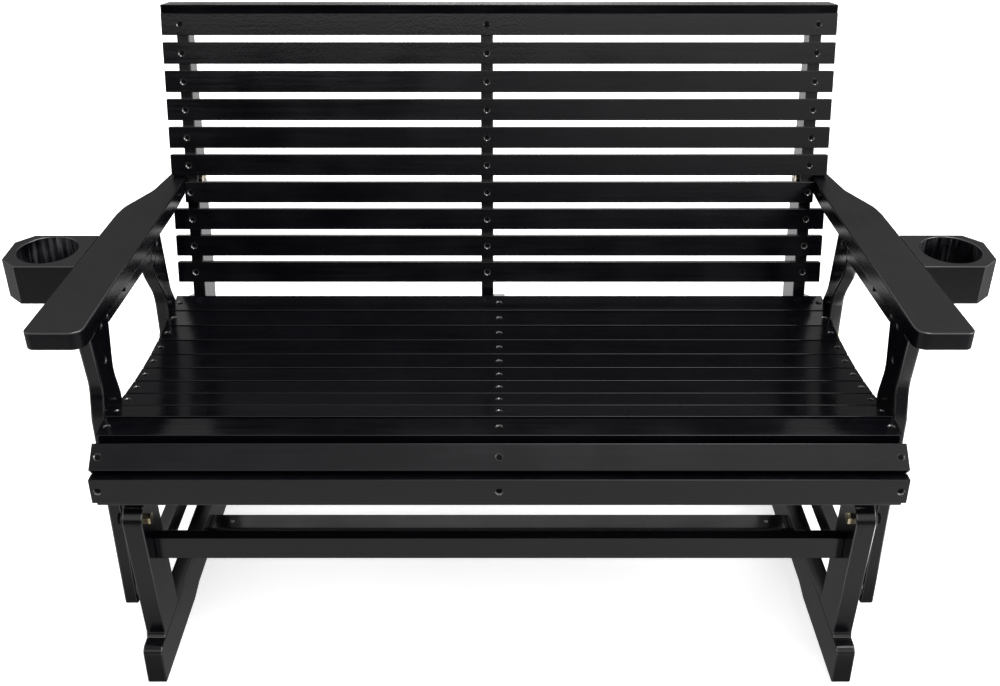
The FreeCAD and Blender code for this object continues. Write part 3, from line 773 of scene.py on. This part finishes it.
@dataclass
class BoardSet:
    """Boards that share a finish and a rounding of their edges."""

    title: str
    starts: tuple[str, ...]
    finish: str
    radius: float = 0.0018
    steps: int = 3
    # The usual edge finish, whose lighter colour is a painted highlight along the rounded edges.
    edge: str = "paint_edge_highlight"
    edge_slot: Slot = Slot.EDGE
    # The seats' finish, whose light colour is a painted highlight ring around each screw.
    rim: str = "paint_rim_highlight"
    extra: tuple[str, ...] = ()
    let_down: float = 0.0
    area_weight: int = 100

    def region(self, face: bmesh.types.BMFace) -> Slot:
        """Return the material slot of a face."""
        return Slot.FACE

    def lower_underside(self, mesh: Mesh) -> None:
        """Move the faces that look down by the set's own distance."""
        low = {vert for face in mesh.faces if face.normal.z < -LEVEL_COSINE for vert in face.verts}
        bmesh.ops.translate(mesh, verts=list(low), vec=(0.0, 0.0, -self.let_down))

    def mark(self, mesh: Mesh, spots: list[Fastener], reach: float) -> None:
        """Weigh the edges to round, and set off the screws' seats with sharp edges and the rim
        finish, whose light colour paints a highlight ring around each screw.

        Args:
            mesh: The board.
            spots: Its screws.
            reach: How far from its screw a seat may extend.
        """
        weight = mesh.edges.layers.float.new("bevel_weight_edge")
        for edge in mesh.edges:
            if len(edge.link_faces) != 2 or edge.calc_face_angle() < SMOOTH_ANGLE:
                continue
            middle = (edge.verts[0].co + edge.verts[1].co) / 2
            if any((middle - spot.place).length < reach for spot in spots):
                edge.smooth = False
            else:
                edge[weight] = 1.0
        for face in mesh.faces:
            face.material_index = self.region(face)
            middle = face.calc_center_median()
            for spot in spots:
                on_face = face.normal.dot(spot.outward) >= PARALLEL_COSINE
                if (middle - spot.place).length < reach and not on_face:
                    # The seat takes the rim finish with its painted highlight ring.
                    face.material_index = Slot.SCREW_SEAT

    def soften(self, piece: bpy.types.Object) -> None:
        """Round a piece's weighted edges in the edge finish, and keep its faces flat.

        Args:
            piece: The piece.
        """
        bevel = piece.modifiers.new("rounded_edges", "BEVEL")
        bevel.width = self.radius
        bevel.segments = self.steps
        bevel.limit_method = "WEIGHT"
        bevel.use_clamp_overlap = False
        bevel.miter_outer = "MITER_ARC"
        bevel.material = self.edge_slot
        flat = piece.modifiers.new("flat_faces", "WEIGHTED_NORMAL")
        flat.mode = "FACE_AREA"
        flat.weight = self.area_weight
        flat.keep_sharp = True

    def build(self, paint: Paintwork, screws: Screws) -> list[bpy.types.Object]:
        """Build a rounded board over each of the set's nodes.

        Args:
            paint: The finishes.
            screws: The bench's screws.

        Returns:
            The boards.
        """
        finishes = [paint.made[name] for name in (self.finish, self.edge, self.rim, *self.extra)]
        boards = []
        for node in nodes_named(*self.starts):
            mesh = clean_mesh(node)
            if self.let_down:
                self.lower_underside(mesh)
            spots = screws.on(mesh)
            if spots:
                mesh = screws.sink_into(mesh, spots)
            self.mark(mesh, spots, screws.reach())
            piece = finish_piece(mesh, node + "_board", node, finishes)
            self.soften(piece)
            boards.append(piece)
        return boards

    def dress(self, paint: Paintwork, screws: Screws) -> None:
        """Build the boards in their finish and report them."""
        log.info("%s: %d boards", self.title, len(self.build(paint, screws)))


@dataclass
class ArmBoards(BoardSet):
    """Arm boards, with softer paint on top than on their sides."""

    extra: tuple[str, ...] = ("paint_arm_side",)
    upward: float = 0.7

    def region(self, face: bmesh.types.BMFace) -> Slot:
        """Return the sides' finish for every face that doesn't look up."""
        return Slot.FACE if face.normal.z > self.upward else Slot.EXTRA


@dataclass
class CupHolders(ArmBoards):
    """The cup holders, with thick glossy paint inside the recess, its light streaks painted
    reflections.
    """

    extra: tuple[str, ...] = ("paint_arm_side", "paint_cup")
    upright: float = 0.3
    largest_facet: float = 0.0015

    def region(self, face: bmesh.types.BMFace) -> Slot:
        """Return the finish of glossy paint with painted reflection streaks for the narrow upright
        facets of the recess.
        """
        inside = abs(face.normal.z) < self.upright and face.calc_area() < self.largest_facet
        return Slot.SECOND_EXTRA if inside else super().region(face)


@dataclass
class PivotBolts(BoardSet):
    """The upper pivots, black outside the legs and bare zinc inside."""

    edge_slot: Slot = Slot.NEIGHBOUR
    extra: tuple[str, ...] = ("black_screw",)
    margin: float = 0.001

    def region(self, face: bmesh.types.BMFace) -> Slot:
        """Return the black finish outside the legs.

        Args:
            face: A face of the bolts.

        Returns:
            Its material slot.
        """
        leg_face = -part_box("front_leg_left")[0][0]
        outside = abs(face.calc_center_median().x) > leg_face - self.margin
        return Slot.EXTRA if outside else Slot.FACE


def bench_parts() -> list[BoardSet]:
    """List the bench's boards in the order that they are put together.

    Returns:
        The sets of boards.
    """
    stretchers = ("front_stretcher", "rear_stretcher", "middle_stretcher")
    return [
        BoardSet("sled base", ("runner_", "front_leg_", "rear_leg_"), "paint_lengthwise",
                 radius=0.002),
        BoardSet("stretchers", stretchers, "paint_across", radius=0.0012, edge="paint_across"),
        BoardSet("hangers", ("hanger_",), "strap_steel", radius=0.0005, steps=2,
                 edge="strap_steel"),
        BoardSet("seat frame", ("seat_bearer_", "lower_rail_"), "paint_lengthwise"),
        BoardSet("front rail", ("front_rail",), "paint_across"),
        BoardSet("seat slats", ("seat_slat_",), "paint_seat", radius=0.0008, steps=2,
                 edge="paint_seat"),
        BoardSet("front slats", ("front_slat_",), "paint_across", radius=0.0012,
                 edge="paint_across"),
        BoardSet("posts", ("arm_post_",), "paint_upright", radius=0.003),
        ArmBoards("arms", ("armrest_",), "paint_arm", steps=4),
        ArmBoards("cleats", ("arm_cleat_",), "paint_arm", radius=0.001),
        CupHolders("cup holders", ("cup_holder_",), "paint_cup_block", radius=0.0015),
        BoardSet("stiles", ("back_stile_",), "paint_upright"),
        BoardSet("back slats", ("back_slat_",), "paint_across", radius=0.001, steps=2,
                 edge="paint_across"),
        BoardSet("cap", ("back_cap",), "paint_across", radius=0.0008, steps=2,
                 edge="paint_across", let_down=0.0024),
        PivotBolts("upper pivots", ("upper_pivot_bolts",), "yellow_zinc", radius=0.0004,
                   steps=2, edge="yellow_zinc"),
        BoardSet("bolts", ("lower_pivot_bolts", "frame_bolts"), "yellow_zinc", radius=0.0004,
                 steps=2, edge="yellow_zinc"),
    ]


# Floor, light and camera

@dataclass
class Floor:
    """A pale floor that glows with its own light: plain white to the camera, and with painted
    shadow, painted shade and a painted pool of light where the paint mirrors it and where it
    lights the bench.
    """

    size: float = 30.0
    tone: float = 0.8
    glow: float = 0.85
    roughness: float = 0.9
    # Painted shade and light on the floor: darker on the left before the bench and darker still
    # towards the camera, a painted shadow under, behind and beside the bench, and a painted pool
    # of light beside the right front leg.
    front: Fade = Fade(-0.8, 0.8, 0.42, 0.5)
    painted_shade_towards_camera: Fade = Fade(-1.5, -0.9, low=0.1)
    painted_shadow_under_and_behind: Fade = Fade(0.7, 1.1, 0.2, 0.6)
    beside: Fade = Fade(1.0, 1.5, high=0.25)
    bench_front: Fade = Fade(-0.47, -0.365)
    painted_light_across: tuple[Fade, Fade] = (Fade(0.76, 0.82), Fade(0.98, 1.05, 1.0, 0.0))
    painted_light_deep: tuple[Fade, Fade] = (Fade(-0.65, -0.55), Fade(0.0, 0.1, 1.0, 0.0))
    painted_light_level: float = 2.5

    def spot(self, tree: Tree, across: Socket, deep: Socket) -> Level:
        """Return what the painted pool of light beside the right front leg adds.

        Args:
            tree: The floor's node tree.
            across: The place from left to right.
            deep: The place from front to back.

        Returns:
            The level to add.
        """
        level = self.painted_light_level
        for value, fades in ((across, self.painted_light_across), (deep, self.painted_light_deep)):
            for fade in fades:
                level = calculate(tree, "MULTIPLY", ramp(tree, value, fade), level)
        return level

    def painted_floor_shading(self, tree: Tree) -> Socket:
        """Return the painted light and shade of each place of the floor, as reflections and its
        glow show it.

        Args:
            tree: The floor's node tree.

        Returns:
            The level.
        """
        across, deep, _ = split_axes(tree, "Object")
        front = ramp(tree, across, self.front)
        front = ramp(tree, deep, self.painted_shade_towards_camera, high=front)
        behind = ramp(tree, deep, self.painted_shadow_under_and_behind)
        sideways = calculate(tree, "ABSOLUTE", across, 0.0)
        behind = ramp(tree, sideways, self.beside, low=behind)
        level = ramp(tree, deep, self.bench_front, front, behind)
        return calculate(tree, "ADD", level, self.spot(tree, across, deep))

    def paint(self) -> bpy.types.Material:
        """Build the floor's material.

        Returns:
            The material.
        """
        material = bpy.data.materials.new("pale_floor")
        material.use_nodes = True
        tree = material.node_tree
        shader = tree.nodes["Principled BSDF"]
        level = plain_white_direct(tree, self.painted_floor_shading(tree))
        tone = tree.nodes.new("ShaderNodeCombineColor")
        for channel in tone.inputs:
            tree.links.new(calculate(tree, "MULTIPLY", level, self.tone), channel)
        # The floor's colour with its painted shade also feeds its emission, so the floor glows
        # like a lamp with that shading.
        for name in ("Base Color", "Emission Color"):
            tree.links.new(tone.outputs[0], shader.inputs[name])
        shader.inputs["Emission Strength"].default_value = self.glow
        shader.inputs["Roughness"].default_value = self.roughness
        return material

    def build(self) -> None:
        """Lay the floor."""
        mesh = bpy.data.meshes.new("floor")
        half = self.size / 2
        corners = [(-half, -half, 0), (half, -half, 0), (half, half, 0), (-half, half, 0)]
        mesh.from_pydata(corners, [], [(0, 1, 2, 3)])
        mesh.materials.append(self.paint())
        floor = bpy.data.objects.new("floor", mesh)
        bpy.context.scene.collection.objects.link(floor)


@dataclass
class Room:
    """The room's light, by how far a direction points across, to the back and up."""

    front_low: Fade = Fade(-0.1, 0.2, 0.02, 0.09)
    front_middle: Fade = Fade(-0.2, 0.3, 0.05, 0.9)
    front_middle_height: Fade = Fade(0.07, 0.14)
    front_window_height: Fade = Fade(0.222, 0.245, high=1.9)
    back_height: Fade = Fade(0.25, 0.4, 0.1, 0.18)
    back_upper_height: Fade = Fade(0.5, 0.62, high=1.3)
    front_to_back: Fade = Fade(-0.1, 0.1)
    ceiling: Fade = Fade(-0.35, 0.25, 0.5, 1.2)
    ceiling_height: Fade = Fade(0.55, 0.85)
    overhead: Fade = Fade(-0.2, 0.35, 0.8, 16.0)
    overhead_height: Fade = Fade(0.935, 0.975)
    side_walls: Fade = Fade(0.85, 0.95, high=0.6)
    side_window: Fade = Fade(0.8, 0.86, high=1.8)
    side_window_height: Fade = Fade(0.25, 0.35)

    def walls(self, tree: Tree, across: Socket, deep: Socket, up: Socket) -> Socket:
        """Return the light of the walls before and behind the bench.

        Args:
            tree: The room's node tree.
            across: How far a direction points to the right.
            deep: How far it points to the back.
            up: How far it points up.

        Returns:
            The walls' strength.
        """
        low = ramp(tree, across, self.front_low)
        middle = ramp(tree, across, self.front_middle)
        front = ramp(tree, up, self.front_middle_height, low, middle)
        front = ramp(tree, up, self.front_window_height, low=front)
        back = ramp(tree, up, self.back_height)
        back = ramp(tree, up, self.back_upper_height, low=back)
        return ramp(tree, deep, self.front_to_back, front, back)

    def light(self, tree: Tree) -> Socket:
        """Return the light from every direction.

        Args:
            tree: The room's node tree.

        Returns:
            The strength.
        """
        across, deep, up = split_axes(tree, "Generated")
        light = self.walls(tree, across, deep, up)
        light = ramp(tree, up, self.ceiling_height, light, ramp(tree, across, self.ceiling))
        light = ramp(tree, up, self.overhead_height, light, ramp(tree, across, self.overhead))
        sideways = calculate(tree, "ABSOLUTE", across, 0.0)
        light = ramp(tree, sideways, self.side_walls, low=light)
        window = ramp(tree, across, self.side_window, low=light)
        return ramp(tree, up, self.side_window_height, window, light)

    def build(self) -> None:
        """Make the room the scene's world."""
        world = bpy.data.worlds.new("studio_room")
        world.use_nodes = True
        tree = world.node_tree
        background = tree.nodes["Background"]
        background.inputs["Color"].default_value = (1.0, 1.0, 1.0, 1.0)
        level = plain_white_direct(tree, self.light(tree))
        tree.links.new(level, background.inputs["Strength"])
        bpy.context.scene.world = world


@dataclass
class Studio:
    """The floor, the light and a camera where the photograph was taken from."""

    photo_width: float = 1000.0
    focal_pixels: float = 1200.0
    axis_pixel: float = 499.2
    sensor: float = 36.0
    camera_depth: float = -1.73217
    camera_height: float = 1.3443
    pitch: float = 28.3
    key_place: tuple[float, float, float] = (3.2, -1.2, 2.6)
    key_size: tuple[float, float] = (1.8, 2.4)
    key_power: float = 70.0
    key_aim: tuple[float, float, float] = (0.0, 0.0, 0.45)

    def build_camera(self) -> None:
        """Place the camera at the photograph's view."""
        data = bpy.data.cameras.new("view")
        data.sensor_width = self.sensor
        data.lens = self.focal_pixels / self.photo_width * self.sensor
        data.shift_x = 0.5 - self.axis_pixel / self.photo_width
        camera = bpy.data.objects.new("view", data)
        camera.location = (0.0, self.camera_depth, self.camera_height)
        camera.rotation_euler = (math.radians(90 - self.pitch), 0.0, 0.0)
        bpy.context.scene.collection.objects.link(camera)
        bpy.context.scene.camera = camera

    def build_key(self) -> None:
        """Hang the softbox at the right that looks at the bench."""
        data = bpy.data.lights.new("key", "AREA")
        data.shape = "RECTANGLE"
        data.size, data.size_y = self.key_size
        data.energy = self.key_power
        light = bpy.data.objects.new("key", data)
        light.location = self.key_place
        aim = Vector(self.key_aim) - Vector(self.key_place)
        light.rotation_euler = aim.to_track_quat("-Z", "Y").to_euler()
        bpy.context.scene.collection.objects.link(light)

    def build(self) -> None:
        """Build the whole studio."""
        bpy.context.scene.view_settings.view_transform = "Standard"
        self.build_camera()
        Floor().build()
        Room().build()
        self.build_key()
        log.info("studio ready")


def main() -> None:
    """Dress the bench, light it and report each piece."""
    logging.basicConfig(level=logging.INFO)
    paint = Paintwork()
    paint.build()
    Studio().build()
    screws = Screws()
    screws.find()
    for part in bench_parts():
        part.dress(paint, screws)
    screws.dress(paint)


if __name__ == "__main__":
    main()
